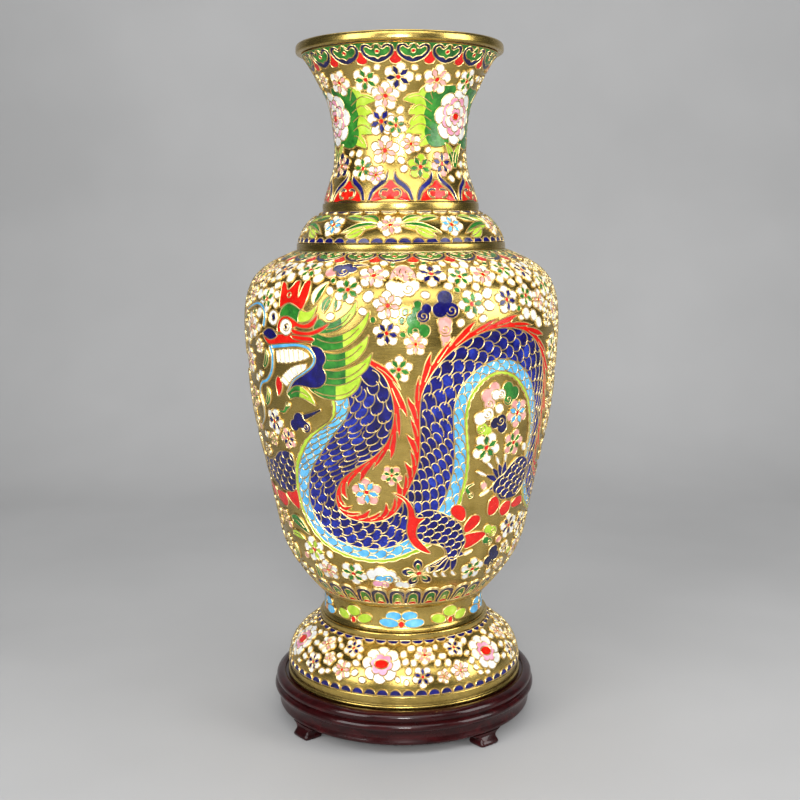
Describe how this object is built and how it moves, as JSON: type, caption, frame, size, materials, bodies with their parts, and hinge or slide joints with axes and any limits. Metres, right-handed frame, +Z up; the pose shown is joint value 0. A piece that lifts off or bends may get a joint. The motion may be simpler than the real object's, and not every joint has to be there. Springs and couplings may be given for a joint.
{
  "type": "cloisonne vase",
  "caption": "Waisted baluster vase of enamelled, gilt sheet metal with flared mouth, bulging body and spreading foot, lifting off a low round lacquered wooden stand.",
  "frame": {"origin": "on the vase's axis, in the plane that the stand's feet rest on", "axes": "+Z up along the vase's axis; -Y towards the side where the dragon's head shows"},
  "size_m": [0.1876, 0.1876, 0.4063],
  "materials": {
    "gilt_metal": "gilt, lightly brushed round the axis",
    "gilt_wire": "gilt, polished",
    "lacquered_wood": "dark red-brown gloss lacquer",
    "bare_wood": "unfinished",
    "enamel_white": "stoned and polished enamel",
    "enamel_pink": "stoned and polished enamel",
    "enamel_red": "stoned and polished enamel",
    "enamel_navy": "stoned and polished enamel",
    "enamel_light_blue": "stoned and polished enamel",
    "enamel_green": "stoned and polished enamel",
    "enamel_lime": "stoned and polished enamel",
    "enamel_lining": "plain counter enamel"
  },
  "bodies": {
    "stand": {"stand_panel": "lacquered_wood", "stand_rim": "lacquered_wood", "stand_apron": "lacquered_wood", "stand_foot_1": "lacquered_wood", "stand_foot_2": "lacquered_wood", "stand_foot_3": "lacquered_wood", "stand_foot_4": "lacquered_wood", "foot_dowel_1": "bare_wood", "foot_dowel_2": "bare_wood", "foot_dowel_3": "bare_wood", "foot_dowel_4": "bare_wood"},
    "vase": {"foot_ring": "gilt_metal", "base_plate": "gilt_metal", "foot_shell": "gilt_metal", "stem_ring": "gilt_metal", "stem_band": "gilt_metal", "stem_bead": "gilt_metal", "body_lower": "gilt_metal", "body_upper": "gilt_metal", "shoulder_ring": "gilt_metal", "shoulder_collar": "gilt_metal", "neck_ring": "gilt_metal", "neck_shell": "gilt_metal", "mouth_rim": "gilt_metal"}
  },
  "joints": [
    {"name": "vase_lift", "type": "slide", "parent": "stand", "child": "vase", "axis": [0, 0, 1], "range_m": [0, 0.06]}
  ]
}
